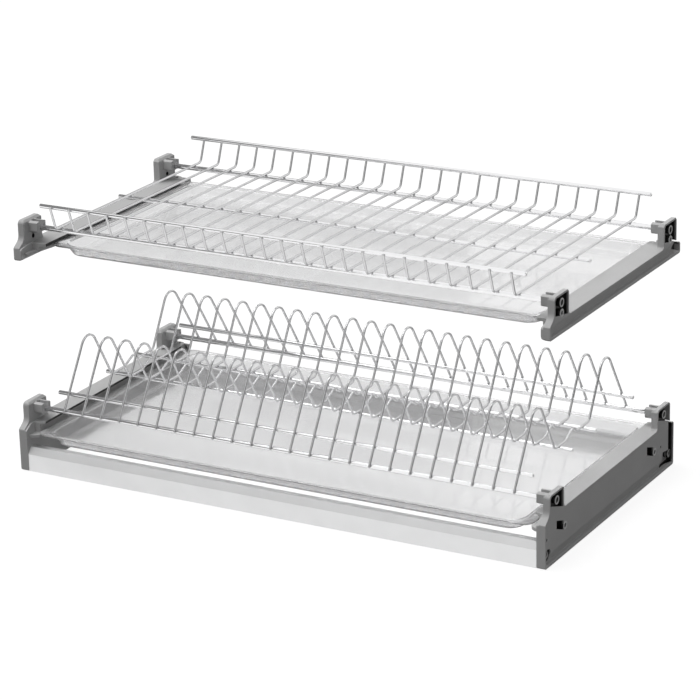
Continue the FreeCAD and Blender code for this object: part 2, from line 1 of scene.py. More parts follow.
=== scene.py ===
# %% [markdown]
# # A cabinet dish rack in chromed wire, moulded plastic and aluminium
#
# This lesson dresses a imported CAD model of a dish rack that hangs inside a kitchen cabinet.
# The CAD model fixes every size: two moulded brackets on each side panel, a plate rack below,
# a glass rack above, a clear drip tray under each rack, and two aluminium profiles.
# Blender adds what the CAD model leaves out: truly round wire, soft moulded edges, weld beads,
# chrome, grain and clear plastic.
#
# Everything is in metres. X runs from side panel to side panel, -Y is the open front, +Z is up.

import json
import math

import bmesh
import bpy
from mathutils import Matrix, Vector
from mathutils.bvhtree import BVHTree


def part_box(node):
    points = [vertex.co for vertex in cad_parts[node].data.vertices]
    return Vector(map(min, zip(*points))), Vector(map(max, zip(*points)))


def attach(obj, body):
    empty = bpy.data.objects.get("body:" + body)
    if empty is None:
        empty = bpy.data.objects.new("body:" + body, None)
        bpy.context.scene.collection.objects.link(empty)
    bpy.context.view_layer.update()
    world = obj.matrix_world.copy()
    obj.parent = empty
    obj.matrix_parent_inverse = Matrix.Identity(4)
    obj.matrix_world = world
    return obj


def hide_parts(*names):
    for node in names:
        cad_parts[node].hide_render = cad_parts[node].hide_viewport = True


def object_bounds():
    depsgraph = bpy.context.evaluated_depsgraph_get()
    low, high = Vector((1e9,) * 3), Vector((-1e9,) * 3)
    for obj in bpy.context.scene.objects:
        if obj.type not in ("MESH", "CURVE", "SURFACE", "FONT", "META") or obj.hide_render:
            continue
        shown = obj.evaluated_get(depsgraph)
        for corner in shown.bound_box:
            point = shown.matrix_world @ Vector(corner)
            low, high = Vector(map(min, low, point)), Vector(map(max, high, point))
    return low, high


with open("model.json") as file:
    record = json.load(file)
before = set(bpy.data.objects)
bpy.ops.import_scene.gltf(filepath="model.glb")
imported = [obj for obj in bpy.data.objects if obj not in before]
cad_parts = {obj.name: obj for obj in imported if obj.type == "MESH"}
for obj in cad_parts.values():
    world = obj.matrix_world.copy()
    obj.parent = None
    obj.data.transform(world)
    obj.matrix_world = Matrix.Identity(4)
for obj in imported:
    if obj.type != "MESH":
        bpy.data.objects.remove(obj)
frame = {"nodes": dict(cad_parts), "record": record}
cad_low, cad_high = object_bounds()
print("CAD box, mm:", [round(v * 1000, 1) for v in cad_high - cad_low])
panel_x = cad_high.x
print("side panels stand", round(panel_x * 1000, 1), "mm to the left and right of the middle")

# %% [markdown]
# ## Small helpers for node trees
#
# Every material and every Geometry Nodes tree below is built from plain calls. These helpers
# only save typing: one adds a node and fills in its sockets, one finds the identifier of a
# named input of a tree, because a modifier wants the identifier and not the name.


# %% Helpers for node trees
def add_node(tree, kind, inputs=None, **settings):
    """Adds a node. inputs maps a socket's name or number to a value or to another node's output."""
    made = tree.nodes.new(kind)
    for name, value in settings.items():
        setattr(made, name, value)
    for socket, value in (inputs or {}).items():
        target = made.inputs[socket]
        if isinstance(value, bpy.types.NodeSocket):
            tree.links.new(value, target)
        else:
            target.default_value = value
    return made


def new_group(name, kind, inputs, outputs):
    """A node tree with named inputs and outputs: (name, socket type, default)."""
    tree = bpy.data.node_groups.new(name, kind)
    for label, socket, default in inputs:
        made = tree.interface.new_socket(label, in_out="INPUT", socket_type=socket)
        if default is not None:
            made.default_value = default
    for label, socket in outputs:
        tree.interface.new_socket(label, in_out="OUTPUT", socket_type=socket)
    return tree, tree.nodes.new("NodeGroupInput"), tree.nodes.new("NodeGroupOutput")


def input_identifier(tree, label):
    """Identifier of a tree's named input, which is what a modifier uses."""
    for item in tree.interface.items_tree:
        if item.item_type == "SOCKET" and item.in_out == "INPUT" and item.name == label:
            return item.identifier
    raise KeyError(label)


def describe(tree):
    """Prints what a finished tree is called and which inputs it offers."""
    labels = [item.name for item in tree.interface.items_tree if item.in_out == "INPUT"]
    print(tree.name, "has", len(tree.nodes), "nodes and the inputs", ", ".join(labels))


# %% [markdown]
# ## The finishes share four effects
#
# Moulded grain, smudges from handling, the fine lines that drawing or brushing leaves, and a
# slow change of tone appear on more than one material here. Each is one shader node group with
# named inputs. The groups put out plain values, which a material sends to its roughness, its
# colour or the height of a bump. Object coordinates keep the pattern still when a rack is
# lifted out, because each finished piece sits at the origin.

# %% [markdown]
# ### Moulded grain
#
# A moulding copies the wall of its mould, which is spark eroded: fine noise with small pits in
# it. A picture of such grain would need UV maps and the right size. Noise with Voronoi cells
# needs neither, so the two are added up into one height.


# %% Group: moulded grain
def build_moulded_grain():
    tree, given, result = new_group(
        "moulded_grain",
        "ShaderNodeTree",
        [("Grains per Metre", "NodeSocketFloat", 1400.0), ("Pitting", "NodeSocketFloat", 0.5)],
        [("Height", "NodeSocketFloat")],
    )
    place = add_node(tree, "ShaderNodeTexCoord").outputs["Object"]
    fine = add_node(
        tree,
        "ShaderNodeTexNoise",
        {"Vector": place, "Scale": given.outputs["Grains per Metre"], "Detail": 3.0, "Roughness": 0.6},
    )
    pits = add_node(
        tree, "ShaderNodeTexVoronoi", {"Vector": place, "Scale": given.outputs["Grains per Metre"]}
    )
    shaped = add_node(
        tree,
        "ShaderNodeMath",
        {0: pits.outputs["Distance"], 1: given.outputs["Pitting"], 2: fine.outputs["Fac"]},
        operation="MULTIPLY_ADD",
    )
    tree.links.new(shaped.outputs[0], result.inputs["Height"])
    return tree


moulded_grain = build_moulded_grain()
describe(moulded_grain)

# %% [markdown]
# ### Smudges
#
# Fingers and dish cloths leave patches that are a little rougher than the rest. They could be
# painted by hand, but a noise finds them on every piece at once, and Map Range turns it into a
# roughness between two given values.


# %% Group: smudges
def build_smudges():
    tree, given, result = new_group(
        "smudges",
        "ShaderNodeTree",
        [
            ("Clean", "NodeSocketFloat", 0.1),
            ("Smudged", "NodeSocketFloat", 0.2),
            ("Size per Metre", "NodeSocketFloat", 18.0),
        ],
        [("Roughness", "NodeSocketFloat")],
    )
    place = add_node(tree, "ShaderNodeTexCoord").outputs["Object"]
    patches = add_node(
        tree,
        "ShaderNodeTexNoise",
        {
            "Vector": place,
            "Scale": given.outputs["Size per Metre"],
            "Detail": 5.0,
            "Roughness": 0.62,
            "Distortion": 0.6,
        },
    )
    spread = add_node(
        tree,
        "ShaderNodeMapRange",
        {
            "Value": patches.outputs["Fac"],
            "From Min": 0.38,
            "From Max": 0.68,
            "To Min": given.outputs["Clean"],
            "To Max": given.outputs["Smudged"],
        },
    )
    tree.links.new(spread.outputs["Result"], result.inputs["Roughness"])
    return tree


smudges = build_smudges()
describe(smudges)

# %% [markdown]
# ### Drawn lines
#
# A profile that is drawn through its die and a screw that is turned keep fine parallel lines.
# Stretching the coordinates before a noise reads them gives such lines at any size. With the
# same run on all three axes the group gives the faint ripple of plating and of pressed sheet.


# %% Group: lines left by drawing and brushing
def build_drawn_lines():
    tree, given, result = new_group(
        "drawn_lines",
        "ShaderNodeTree",
        [
            ("Lines per Metre", "NodeSocketFloat", 900.0),
            ("Run", "NodeSocketVector", (0.02, 1.0, 1.0)),
        ],
        [("Height", "NodeSocketFloat")],
    )
    place = add_node(tree, "ShaderNodeTexCoord").outputs["Object"]
    stretched = add_node(
        tree,
        "ShaderNodeVectorMath",
        {0: place, 1: given.outputs["Run"]},
        operation="MULTIPLY",
    )
    lines = add_node(
        tree,
        "ShaderNodeTexNoise",
        {
            "Vector": stretched.outputs[0],
            "Scale": given.outputs["Lines per Metre"],
            "Detail": 4.0,
            "Roughness": 0.7,
        },
    )
    tree.links.new(lines.outputs["Fac"], result.inputs["Height"])
    return tree


drawn_lines = build_drawn_lines()
describe(drawn_lines)

# %% [markdown]
# ### A slow change of tone
#
# No real surface has quite the same colour all over. A large soft noise blends two colours
# that lie close together, which is enough to take the flatness off.


# %% Group: slow change of tone
def build_tone():
    tree, given, result = new_group(
        "tone",
        "ShaderNodeTree",
        [
            ("Low", "NodeSocketColor", (0.2, 0.2, 0.2, 1.0)),
            ("High", "NodeSocketColor", (0.25, 0.25, 0.25, 1.0)),
            ("Size per Metre", "NodeSocketFloat", 25.0),
        ],
        [("Color", "NodeSocketColor")],
    )
    place = add_node(tree, "ShaderNodeTexCoord").outputs["Object"]
    cloud = add_node(
        tree,
        "ShaderNodeTexNoise",
        {"Vector": place, "Scale": given.outputs["Size per Metre"], "Detail": 4.0},
    )
    blend = add_node(
        tree,
        "ShaderNodeMix",
        {0: cloud.outputs["Fac"], 6: given.outputs["Low"], 7: given.outputs["High"]},
        data_type="RGBA",
    )
    tree.links.new(blend.outputs[2], result.inputs["Color"])
    return tree


tone = build_tone()
describe(tone)

# %% [markdown]
# ## The materials
#
# Six finishes dress the whole rack: moulded plastic, chrome on the bars and on the wires, duller
# chrome on the welds, anodised aluminium, zinc and clear plastic. They share most of their
# steps, so a few helpers come first: a plain grey, a new material, a group placed in it, and the
# three ways in which a group reaches the shader, as colour, as roughness and as bump.


# %% Helpers for materials
def grey(level, blue=1.0):
    """A grey, with its blue part raised by a factor where it should look cool."""
    return (level, level, level * blue, 1.0)


def new_material(name):
    """A material with one Principled BSDF."""
    made = bpy.data.materials.new(name)
    made.use_nodes = True
    return made, made.node_tree, made.node_tree.nodes["Principled BSDF"]


def use_group(tree, group, inputs):
    """Places a shader group in a material with its own values."""
    placed = tree.nodes.new("ShaderNodeGroup")
    placed.node_tree = group
    for label, value in inputs.items():
        placed.inputs[label].default_value = value
    return placed


def colour_surface(tree, shader, low, high, size):
    """Sends a slow change between two colours to the base colour."""
    colour = use_group(tree, tone, {"Low": low, "High": high, "Size per Metre": size})
    tree.links.new(colour.outputs["Color"], shader.inputs["Base Color"])


def wear_surface(tree, shader, clean, smudged, size):
    """Sends smudges to the roughness."""
    wear = use_group(tree, smudges, {"Clean": clean, "Smudged": smudged, "Size per Metre": size})
    tree.links.new(wear.outputs["Roughness"], shader.inputs["Roughness"])


def raise_surface(tree, shader, height, strength, distance):
    """Sends a height to the shader's normal through a Bump node."""
    bump = add_node(
        tree,
        "ShaderNodeBump",
        {"Strength": strength, "Distance": distance, "Height": height},
    )
    tree.links.new(bump.outputs["Normal"], shader.inputs["Normal"])


# %% [markdown]
# ### Moulded grey plastic
#
# The brackets are moulded in mid grey plastic with a fine grain. The recesses of their outer
# faces get painted shade, nearly black, darker than the light alone would leave them. Painted
# shade on extra faces would need new geometry. Instead the meshes store a face attribute that
# masks the painted shade, and the colour goes to black where it is 1 and the surface lies deep
# below the outer face. The collars of the screw bosses get a paler grey, a painted highlight.


# %% Moulded grey plastic
# Black painted into recesses as shade.
hollow_black = grey(0.006)


def grey_plastic(name, low, high, fade):
    """Faces in the painted shade mask are painted black as shade where they lie deeper than fade below
    the outer face.
    """
    made, tree, shader = new_material(name)
    colour = use_group(
        tree, tone, {"Low": grey(low), "High": grey(high), "Size per Metre": 14.0}
    )
    # The face attribute that masks the painted shade.
    hollow = add_node(tree, "ShaderNodeAttribute", attribute_name="hollow")
    place = add_node(tree, "ShaderNodeTexCoord").outputs["Object"]
    split = add_node(tree, "ShaderNodeSeparateXYZ", {"Vector": place})
    sideways = add_node(tree, "ShaderNodeMath", {0: split.outputs["X"]}, operation="ABSOLUTE")
    depth = add_node(
        tree,
        "ShaderNodeMapRange",
        {
            "Value": sideways.outputs[0],
            "From Min": panel_x,
            "From Max": panel_x - fade,
            "To Min": 0.0,
            "To Max": 1.0,
        },
    )
    # Painted shade: black where the mask is 1, fading in with depth below the outer face.
    dark = add_node(
        tree,
        "ShaderNodeMath",
        {0: hollow.outputs["Fac"], 1: depth.outputs["Result"]},
        operation="MULTIPLY",
    )
    painted_shade_colour = add_node(
        tree,
        "ShaderNodeMix",
        {0: dark.outputs[0], 6: colour.outputs["Color"], 7: hollow_black},
        data_type="RGBA",
    )
    tree.links.new(painted_shade_colour.outputs[2], shader.inputs["Base Color"])
    wear_surface(tree, shader, 0.42, 0.54, 40.0)
    grain = use_group(tree, moulded_grain, {"Grains per Metre": 2200.0, "Pitting": 0.4})
    raise_surface(tree, shader, grain.outputs["Height"], 0.35, 0.00006)
    shader.inputs["Specular IOR Level"].default_value = 0.45
    return made


moulded_grey = grey_plastic("moulded_grey", 0.40, 0.44, fade=0.0022)
# A paler copy of the grey plastic: the collars' rims get a painted highlight.
collar_painted_highlight_grey = grey_plastic("collar_painted_highlight_grey", 0.62, 0.68, fade=0.0006)
print("plastics:", moulded_grey.name, "and", collar_painted_highlight_grey.name)

# %% [markdown]
# ### Chrome plate
#
# Chrome over steel wire mirrors whatever stands round it, so most of its look comes from the
# room further down. The material adds what the plating itself has: a slight blue, patches that
# are less sharp, and a faint ripple. The wires get a darker plate than the bars, which is painted
# shade on the same chrome. The plate on a weld is dull, because the steel below it is rough, and
# its colour is much darker than the bars'.


# %% Chrome plate for bars, wires and welds
def chrome_plate(name, low, high, clean, smudged):
    made, tree, shader = new_material(name)
    colour_surface(tree, shader, grey(low, blue=1.01), grey(high, blue=1.01), 60.0)
    shader.inputs["Metallic"].default_value = 1.0
    wear_surface(tree, shader, clean, smudged, 50.0)
    ripple = use_group(tree, drawn_lines, {"Lines per Metre": 700.0, "Run": (1.0, 1.0, 1.0)})
    raise_surface(tree, shader, ripple.outputs["Height"], 0.08, 0.0001)
    return made


chrome = chrome_plate("chrome_plate", 0.84, 0.93, 0.06, 0.15)
# The wires' darker plate is painted shade on the same chrome.
wire_chrome_painted_shade = chrome_plate("wire_chrome_painted_shade", 0.60, 0.70, 0.08, 0.18)
dull_chrome = chrome_plate("dull_chrome", 0.16, 0.24, 0.30, 0.45)
print("plates:", chrome.name, wire_chrome_painted_shade.name, dull_chrome.name)

# %% [markdown]
# ### Satin anodised aluminium
#
# The two profiles are drawn along X and then anodised to a satin finish. The reflection is wide
# and soft, so the roughness is high, and the die's lines run the whole length of the profile:
# the run is nearly flat along X.


# %% Satin anodised aluminium
def satin_aluminium():
    made, tree, shader = new_material("satin_aluminium")
    colour_surface(tree, shader, (0.79, 0.792, 0.795, 1.0), (0.84, 0.842, 0.845, 1.0), 9.0)
    shader.inputs["Metallic"].default_value = 1.0
    wear_surface(tree, shader, 0.54, 0.62, 30.0)
    lines = use_group(tree, drawn_lines, {"Lines per Metre": 1500.0, "Run": (0.012, 1.0, 1.0)})
    raise_surface(tree, shader, lines.outputs["Height"], 0.25, 0.00008)
    return made


aluminium = satin_aluminium()
print("aluminium:", aluminium.name)

# %% [markdown]
# ### Zinc plated steel
#
# The four screws that hold the profiles are zinc plated. The plating is a flat grey, duller
# than chrome. The screws lie along X, so the marks of turning vary fast along X and slowly
# round the screw.


# %% Zinc plated screws
def zinc_steel():
    made, tree, shader = new_material("zinc_steel")
    colour_surface(tree, shader, (0.22, 0.22, 0.218, 1.0), (0.30, 0.30, 0.296, 1.0), 300.0)
    shader.inputs["Metallic"].default_value = 1.0
    wear_surface(tree, shader, 0.22, 0.38, 260.0)
    lines = use_group(tree, drawn_lines, {"Lines per Metre": 3000.0, "Run": (1.0, 0.1, 0.1)})
    raise_surface(tree, shader, lines.outputs["Height"], 0.2, 0.00004)
    return made


zinc = zinc_steel()
print("zinc:", zinc.name)

# %% [markdown]
# ### Clear tray plastic
#
# The trays are pressed from clear sheet, glossy on both faces. Full transmission would make
# them vanish on a white floor, so a part of the shader stays an opaque pale grey, which also
# stands for the fine scratches of daily use. The upper tray's grey is a touch paler than the
# lower's, painted light on the same sheet.


# %% Clear tray plastic
def clear_plastic(name, level):
    made, tree, shader = new_material(name)
    shader.inputs["Base Color"].default_value = grey(level, blue=1.006)
    shader.inputs["Transmission Weight"].default_value = 0.86
    shader.inputs["IOR"].default_value = 1.42
    wear_surface(tree, shader, 0.04, 0.16, 16.0)
    ripple = use_group(tree, drawn_lines, {"Lines per Metre": 60.0, "Run": (1.0, 1.0, 1.0)})
    raise_surface(tree, shader, ripple.outputs["Height"], 0.1, 0.0004)
    return made


# Two copies of one clear plastic: the upper tray's paler grey is painted light.
clear_lower = clear_plastic("clear_lower_tray", 0.75)
clear_upper_painted_light = clear_plastic("clear_upper_tray_painted_light", 0.77)
print("materials:", sorted(m.name for m in bpy.data.materials))

# %% [markdown]
# ## Wires that repeat: a Geometry Nodes tree
#
# The plate rack has 24 equal bent wires, 21 mm apart, and so has the glass rack. A wire
# bender makes each from straight stock with a few bends. The tree does the same: it takes
# the wire's route as a line with a bend radius stored at each corner, rounds the corners,
# sweeps a circle along it and repeats the wire along X. Sizes are named inputs, so another
# rack needs only other numbers.


# %% Nodes that sweep a round section along a curve
def swept_round(tree, given, curve, radius):
    """A tube along a curve: its radius is a named input, scaled by the stored girth."""
    section = add_node(
        tree,
        "GeometryNodeCurvePrimitiveCircle",
        {"Resolution": given.outputs["Sides"], "Radius": given.outputs[radius]},
    )
    girth = add_node(tree, "GeometryNodeInputNamedAttribute", {"Name": "girth"}, data_type="FLOAT")
    return add_node(
        tree,
        "GeometryNodeCurveToMesh",
        {
            "Curve": curve,
            "Profile Curve": section.outputs["Curve"],
            "Scale": girth.outputs["Attribute"],
            "Fill Caps": True,
        },
    )


# %% Nodes that place points along X, evenly about the middle
def points_along_x(tree, given):
    gaps = add_node(
        tree, "ShaderNodeMath", {0: given.outputs["Count"], 1: -1.0}, operation="ADD"
    )
    pitches_left = add_node(
        tree, "ShaderNodeMath", {0: gaps.outputs[0], 1: -0.5}, operation="MULTIPLY"
    )
    first_x = add_node(
        tree,
        "ShaderNodeMath",
        {0: pitches_left.outputs[0], 1: given.outputs["Pitch"]},
        operation="MULTIPLY",
    )
    first = add_node(tree, "ShaderNodeCombineXYZ", {"X": first_x.outputs[0]})
    step = add_node(tree, "ShaderNodeCombineXYZ", {"X": given.outputs["Pitch"]})
    return add_node(
        tree,
        "GeometryNodeMeshLine",
        {
            "Count": given.outputs["Count"],
            "Start Location": first.outputs["Vector"],
            "Offset": step.outputs["Vector"],
        },
    )


# %% Nodes that end a tree
def end_tree(tree, given, result, geometry):
    """Makes instances real, sets the material and leads to the output."""
    real = add_node(tree, "GeometryNodeRealizeInstances", {"Geometry": geometry})
    coated = add_node(
        tree,
        "GeometryNodeSetMaterial",
        {"Geometry": real.outputs["Geometry"], "Material": given.outputs["Material"]},
    )
    tree.links.new(coated.outputs["Geometry"], result.inputs["Geometry"])
    return tree


# %% Tree: a row of bent wires
def build_wire_row():
    tree, given, result = new_group(
        "wire_row",
        "GeometryNodeTree",
        [
            ("Route", "NodeSocketGeometry", None),
            ("Wire Radius", "NodeSocketFloat", 0.00115),
            ("Pitch", "NodeSocketFloat", 0.021),
            ("Count", "NodeSocketInt", 24),
            ("Steps per Bend", "NodeSocketInt", 8),
            ("Sides", "NodeSocketInt", 10),
            ("Material", "NodeSocketMaterial", None),
        ],
        [("Geometry", "NodeSocketGeometry")],
    )
    line = add_node(tree, "GeometryNodeMeshToCurve", {"Mesh": given.outputs["Route"]})
    bend = add_node(tree, "GeometryNodeInputNamedAttribute", {"Name": "bend"}, data_type="FLOAT")
    bent = add_node(
        tree,
        "GeometryNodeFilletCurve",
        {
            "Curve": line.outputs["Curve"],
            "Count": given.outputs["Steps per Bend"],
            "Radius": bend.outputs["Attribute"],
        },
        mode="POLY",
    )
    swept = swept_round(tree, given, bent.outputs["Curve"], "Wire Radius")
    places = points_along_x(tree, given)
    copies = add_node(
        tree,
        "GeometryNodeInstanceOnPoints",
        {"Points": places.outputs["Mesh"], "Instance": swept.outputs["Mesh"]},
    )
    return end_tree(tree, given, result, copies.outputs["Instances"])


wire_row = build_wire_row()
describe(wire_row)

# %% [markdown]
# ## From a tree to a plain mesh
#
# A tree runs on an object through a modifier. The export keeps no instances and no stored
# bend radii, so the evaluated result becomes the object's own mesh and the modifier goes. Only
# then is the piece given to its body. These helpers do that for every wire, bar and weld.


# %% Helpers: an object, a route, a modifier, and a plain mesh at the end
def linked_object(name, data):
    """A new object in the scene."""
    made = bpy.data.objects.new(name, data)
    bpy.context.scene.collection.objects.link(made)
    return made


def route_object(name, points, bends, girths):
    """A chain of edges through points (metres) with a bend radius and a girth at each."""
    mesh = bpy.data.meshes.new(name)
    mesh.from_pydata(points, [(i, i + 1) for i in range(len(points) - 1)], [])
    for label, values in (("bend", bends), ("girth", girths)):
        stored = mesh.attributes.new(label, "FLOAT", "POINT")
        stored.data.foreach_set("value", values)
    return linked_object(name, mesh)


def made_plain(obj):
    """Keeps what an object's modifiers give as its own mesh, and removes them."""
    graph = bpy.context.evaluated_depsgraph_get()
    mesh = bpy.data.meshes.new_from_object(
        obj.evaluated_get(graph), preserve_all_data_layers=True, depsgraph=graph
    )
    obj.modifiers.clear()
    obj.data = mesh
    return mesh


def run_tree(obj, tree, inputs):
    """Runs a tree on an object, then keeps the result as its plain mesh."""
    modifier = obj.modifiers.new(tree.name, "NODES")
    modifier.node_group = tree
    for label, value in inputs.items():
        modifier[input_identifier(tree, label)] = value
    mesh = made_plain(obj)
    for label in [a.name for a in mesh.attributes if a.name in ("bend", "girth", "turned")]:
        mesh.attributes.remove(mesh.attributes[label])
    mesh.shade_smooth()
    mesh.set_sharp_from_angle(angle=math.radians(42))


def put_in_rack(obj, body, slot_name, *nodes):
    """The finished piece rides on its body and stands for its CAD nodes."""
    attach(obj, body)
    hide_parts(*nodes)
    print(obj.name, len(obj.data.polygons), "faces for", ", ".join(nodes))


# %% [markdown]
# ## The plate wire's route
#
# Seen from the side, a plate wire climbs from the front rod to the first rounded loop, drops
# into a flat valley where the plates stand, rises over a small bump, runs flat to the second
# loop and comes down to the rear rod. The legs meet the rods at their sides, where they are
# welded. Each corner of the route is where two straight runs would meet, so the slopes and
# the two heights fix the whole shape.


# %% Route helpers
def mid_of(node):
    """Middle of a CAD node's box."""
    low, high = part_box(node)
    return (low + high) / 2


def half_height(node):
    """Half the height of a CAD node, which is the radius of a rod or a rail."""
    low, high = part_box(node)
    return (high.z - low.z) / 2


def heading(degrees):
    """Unit vector in (y, z) at an angle above +Y."""
    return Vector((math.cos(math.radians(degrees)), math.sin(math.radians(degrees))))


def crossing(p, p_degrees, q, q_degrees):
    """Where the line through p meets the line through q, each with its own slope."""
    a, b = heading(p_degrees), heading(q_degrees)
    share = ((q - p).x * -b.y + b.x * (q - p).y) / (-a.x * b.y + b.x * a.y)
    return p + a * share


# %% The plate wire's corners
wire_radius = 0.00115
wire_pitch = 0.021
wire_count = 24
weld_sink = 0.0001

front_rod = mid_of("plate_front_rod")
rear_rod = mid_of("plate_rear_rod")
rod_radius = half_height("plate_front_rod")
spacing = rear_rod.y - front_rod.y
touch = rod_radius + wire_radius - weld_sink

leg_front, leg_inner, leg_rear = 58.2, 60.0, 56.4
loop_height, valley_height, rest_height = 0.0775, 0.0134, 0.0152
flat_share, bump_up_share, bump_down_share = 0.304, 0.219, 0.106
bump_rise = 0.0076
past_touch = 0.002

foot_touch = heading(leg_front + 90) * touch
tail_touch = Vector((spacing, 0)) + heading(90 - leg_rear) * touch
first_loop = crossing(foot_touch, leg_front, Vector((0, loop_height)), 0)
valley_in = crossing(first_loop, -leg_inner, Vector((0, valley_height)), 0)
second_loop = crossing(tail_touch, -leg_rear, Vector((0, loop_height)), 0)
rest_out = crossing(second_loop, leg_inner, Vector((0, rest_height)), 0)
valley = rest_out.x - valley_in.x
valley_out = valley_in + Vector((valley * flat_share, 0))
bump = valley_out + Vector((valley * bump_up_share, bump_rise))
rest_in = Vector((bump.x + valley * bump_down_share, rest_height))
foot_tip = foot_touch - heading(leg_front) * past_touch
tail_tip = tail_touch + heading(-leg_rear) * past_touch
loops_at = [round(v * 1000, 1) for v in (first_loop.x, second_loop.x)]
print("loops at", loops_at, "mm behind the front rod")


# %% Bend the plate wires
def wire_object(name, flat_points, bends, origin):
    """Route in the plane x = 0, with both tips eased so that they look cut and tumbled."""
    ease = 0.00035
    first = flat_points[0] + (flat_points[1] - flat_points[0]).normalized() * ease
    last = flat_points[-1] + (flat_points[-2] - flat_points[-1]).normalized() * ease
    chain = [flat_points[0], first] + flat_points[1:-1] + [last, flat_points[-1]]
    radii = [0.0, 0.0] + bends + [0.0, 0.0]
    girths = [0.7, 1.0] + [1.0] * len(bends) + [1.0, 0.7]
    points = [(0.0, origin.y + p.x, origin.z + p.y) for p in chain]
    return route_object(name, points, radii, girths)


plate_route = [
    foot_tip,
    first_loop,
    valley_in,
    valley_out,
    bump,
    rest_in,
    rest_out,
    second_loop,
    tail_tip,
]
loop_bend, corner_bend = 0.013, 0.004
plate_bends = [loop_bend] + [corner_bend] * 5 + [loop_bend]
plate_wires = wire_object("round_plate_wires", plate_route, plate_bends, front_rod)
run_tree(
    plate_wires,
    wire_row,
    {
        "Wire Radius": wire_radius,
        "Pitch": wire_pitch,
        "Count": wire_count,
        "Steps per Bend": 9,
        "Sides": 12,
        "Material": wire_chrome_painted_shade,
    },
)
put_in_rack(plate_wires, "plate_rack", "chrome", "plate_wires")

# %% [markdown]
# ## The glass wire's route
#
# A glass wire is a straight bar that lies on the two rods of the upper rack. Both ends turn
# up and lean outwards a little, which makes a low fence that keeps glasses from sliding off.
# The helper and the tree of the plate wires make it too, from only four points.

# %% Bend the glass wires
glass_front_rod = mid_of("glass_front_rod")
deck = touch
past_rod, past_rear_rod = 0.0095, 0.0115
fence, front_lean, rear_lean = 0.0236, 0.008, 0.0095
fence_bend = 0.005

front_corner = Vector((-past_rod, deck))
rear_corner = Vector((spacing + past_rear_rod, deck))
front_tip = front_corner + Vector((-front_lean, fence))
rear_tip = rear_corner + Vector((rear_lean, fence))
glass_route = [front_tip, front_corner, rear_corner, rear_tip]
glass_wires = wire_object(
    "round_glass_wires", glass_route, [fence_bend, fence_bend], glass_front_rod
)
run_tree(
    glass_wires,
    wire_row,
    {
        "Wire Radius": wire_radius,
        "Pitch": wire_pitch,
        "Count": wire_count,
        "Steps per Bend": 8,
        "Sides": 12,
        "Material": wire_chrome_painted_shade,
    },
)
put_in_rack(glass_wires, "glass_rack", "chrome", "glass_wires")

# %% [markdown]
# ## Rods and rails
#
# Two thick rods carry each rack in its brackets, and thinner rails tie the wires together.
# All are straight round bars along X with tumbled ends. A cylinder's ends would be knife sharp,
# so one small tree sweeps a circle along a line whose girth narrows at the tips. Each bar takes
# its place and its radius from the CAD node that it stands for, so it cannot drift away from
# the brackets.


# %% Tree: a round bar with eased ends
def build_round_bar():
    tree, given, result = new_group(
        "round_bar",
        "GeometryNodeTree",
        [
            ("Line", "NodeSocketGeometry", None),
            ("Bar Radius", "NodeSocketFloat", 0.0025),
            ("Sides", "NodeSocketInt", 28),
            ("Material", "NodeSocketMaterial", None),
        ],
        [("Geometry", "NodeSocketGeometry")],
    )
    line = add_node(tree, "GeometryNodeMeshToCurve", {"Mesh": given.outputs["Line"]})
    swept = swept_round(tree, given, line.outputs["Curve"], "Bar Radius")
    return end_tree(tree, given, result, swept.outputs["Mesh"])


round_bar = build_round_bar()
describe(round_bar)


# %% Make every rod and rail
tip_steps = (0.0, 0.0002, 0.0006)
tip_girths = (0.72, 0.92, 1.0)


def make_bar(node, body):
    """A bar from end to end of its CAD node, its girth eased over the last steps."""
    low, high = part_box(node)
    middle = mid_of(node)
    places = [low.x + step for step in tip_steps]
    places += [high.x - step for step in reversed(tip_steps)]
    points = [(x, middle.y, middle.z) for x in places]
    bar = route_object("round_" + node, points, [0.0] * len(points), tip_girths + tip_girths[::-1])
    run_tree(bar, round_bar, {"Bar Radius": half_height(node), "Sides": 28, "Material": chrome})
    put_in_rack(bar, body, "chrome", node)


plate_bars = [
    "plate_front_rod",
    "plate_rear_rod",
    "plate_front_rail",
    "plate_rear_rail",
    "plate_valley_rail",
    "plate_rest_rail",
]
glass_bars = [
    "glass_front_rod",
    "glass_rear_rod",
    "glass_front_rail",
    "glass_rear_rail",
    "glass_middle_rail",
]
for node in plate_bars:
    make_bar(node, "plate_rack")
for node in glass_bars:
    make_bar(node, "glass_rack")

# %% [markdown]
# ## Weld beads
#
# A spot welder presses each wire onto the bars and melts the contact. Under the chrome a small
# swollen bead stays at every crossing. There are 264 of them, far too many to place by hand.
# The script works out each contact, and the tree puts a bead there, turned to the wire's slope
# and varied a little in size with a fixed seed.


